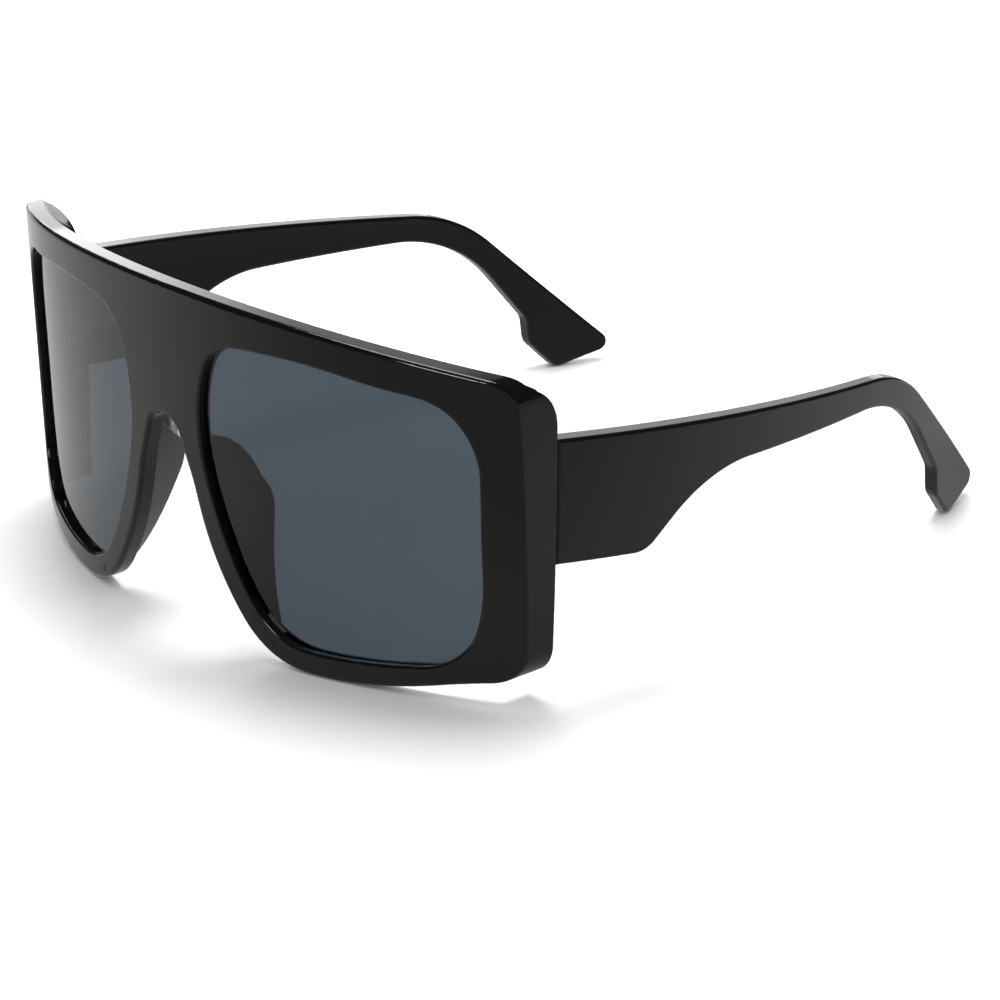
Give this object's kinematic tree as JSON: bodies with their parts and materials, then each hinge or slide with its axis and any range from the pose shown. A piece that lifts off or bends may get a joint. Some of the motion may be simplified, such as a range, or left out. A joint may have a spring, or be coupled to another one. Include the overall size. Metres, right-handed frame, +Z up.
{
  "type": "sunglasses",
  "caption": "Oversized flat-top sunglasses: glossy black wrapped front with moulded nose pads, smoke lenses, and wide temples that fold on knuckle hinges.",
  "frame": {"origin": "middle of the footprint of the open glasses, on the table they stand on", "axes": "+X the wearer's left, +Y from the front towards the temple tips, +Z up"},
  "size_m": [0.1532, 0.1774, 0.0744],
  "materials": {
    "black_plastic": "polished injection moulding",
    "smoke_lens": "tinted, clear-polished",
    "hinge_steel": "satin nickel silver",
    "screw_steel": "plated"
  },
  "bodies": {
    "front": {"frame_front": "black_plastic", "lens_left": "smoke_lens", "lens_right": "smoke_lens", "hinge_front_leaf_left": "hinge_steel", "hinge_front_leaf_right": "hinge_steel", "hinge_screw_left": "screw_steel", "hinge_screw_right": "screw_steel", "front_leaf_screws_left": "screw_steel", "front_leaf_screws_right": "screw_steel"},
    "left_temple": {"temple_left": "black_plastic", "hinge_temple_leaf_left": "hinge_steel", "temple_leaf_screws_left": "screw_steel"},
    "right_temple": {"temple_right": "black_plastic", "hinge_temple_leaf_right": "hinge_steel", "temple_leaf_screws_right": "screw_steel"}
  },
  "joints": [
    {"name": "left_hinge", "type": "hinge", "parent": "front", "child": "left_temple", "pos_m": [0.0688, -0.05198, 0.04052], "axis": [0, 0, 1], "range_deg": [0, 84]},
    {"name": "right_hinge", "type": "hinge", "parent": "front", "child": "right_temple", "pos_m": [-0.0688, -0.05198, 0.04052], "axis": [0, 0, -1], "range_deg": [0, 72]}
  ]
}
